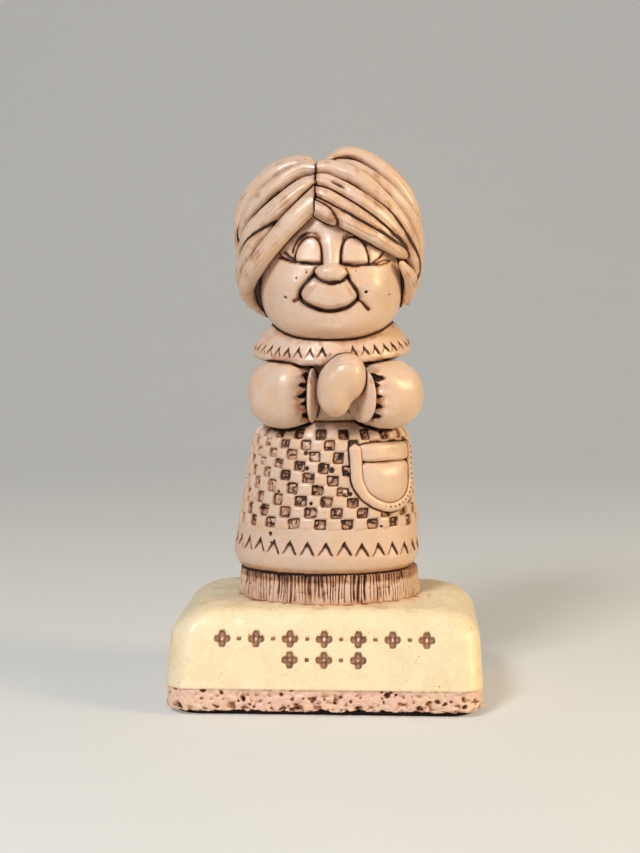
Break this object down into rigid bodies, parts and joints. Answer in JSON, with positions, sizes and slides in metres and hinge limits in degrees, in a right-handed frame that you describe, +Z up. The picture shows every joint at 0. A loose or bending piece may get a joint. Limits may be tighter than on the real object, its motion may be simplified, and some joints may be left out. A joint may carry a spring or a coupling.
{
  "type": "standing message doll",
  "caption": "Cast grandmother figure with clasped hands, puffed sleeves and a checked apron dress, standing on a sloped plinth whose front face takes a message.",
  "frame": {"origin": "centre of the plinth's footprint, on the surface that the doll stands on", "axes": "+Z up, the doll faces -Y, its left hand is towards +X"},
  "size_m": [0.0784, 0.056, 0.1398],
  "materials": {
    "cream": "satin",
    "hair": "satin",
    "stained": "matte",
    "stone": "satin",
    "felt": "matte",
    "dowel": "matte"
  },
  "bodies": {
    "root": {"felt_pad": "felt", "plinth": "stone", "base_dowel": "dowel", "petticoat": "stained", "dress": "cream", "pocket_trim": "cream", "pocket": "cream", "pocket_band": "cream", "bodice": "cream", "neck_dowel": "dowel", "collar": "cream", "right_sleeve": "cream", "right_cuff": "cream", "left_sleeve": "cream", "left_cuff": "cream", "left_hand": "cream", "right_hand": "cream", "head": "cream", "hair_cap": "hair", "right_lock_1": "hair", "right_lock_2": "hair", "right_lock_3": "hair", "right_lock_4": "hair", "right_lock_5": "hair", "left_lock_1": "hair", "left_lock_2": "hair", "left_lock_3": "hair", "left_lock_4": "hair", "left_lock_5": "hair", "left_lock_6": "hair", "left_lock_7": "hair", "left_lock_8": "hair"}
  },
  "joints": []
}
